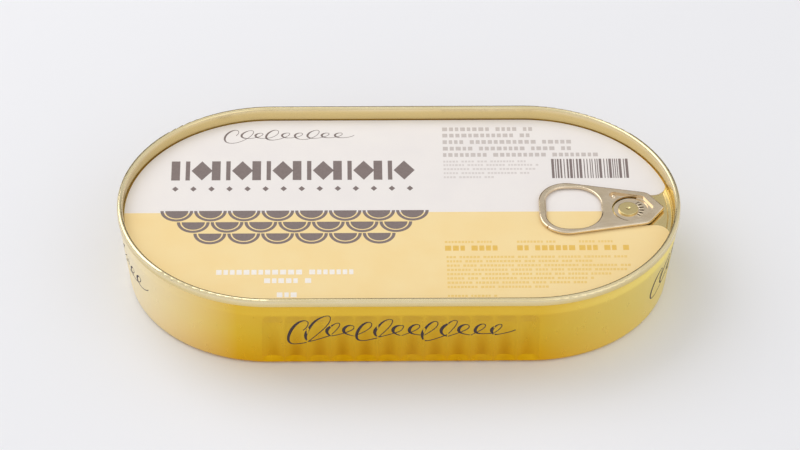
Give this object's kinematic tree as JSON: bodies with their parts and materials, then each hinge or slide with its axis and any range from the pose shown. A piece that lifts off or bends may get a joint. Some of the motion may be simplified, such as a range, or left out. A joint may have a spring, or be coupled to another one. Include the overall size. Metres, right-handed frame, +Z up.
{
  "type": "tin of mackerel",
  "caption": "Shut oval fish tin: fluted drawn body, double-seamed easy-open lid, riveted ring-pull tab and a plain two-colour label on the lid.",
  "frame": {"origin": "centre of the tin's footprint, on the surface that it rests on", "axes": "+X along the length towards the nose of the ring-pull tab, +Y across, +Z up"},
  "size_m": [0.148, 0.0806, 0.024],
  "materials": {
    "body_lacquer": "satin gold lacquer on tinplate",
    "lid_lacquer": "pale gold lacquer, semi-gloss",
    "label_paper": "matt coated paper, upper half white and lower half pale yellow",
    "tab_steel": "champagne-silver lacquered steel, semi-gloss"
  },
  "bodies": {
    "root": {"can_body": "body_lacquer", "lid": "lid_lacquer", "lid_label": "label_paper", "ring_pull_tab": "tab_steel"}
  },
  "joints": []
}
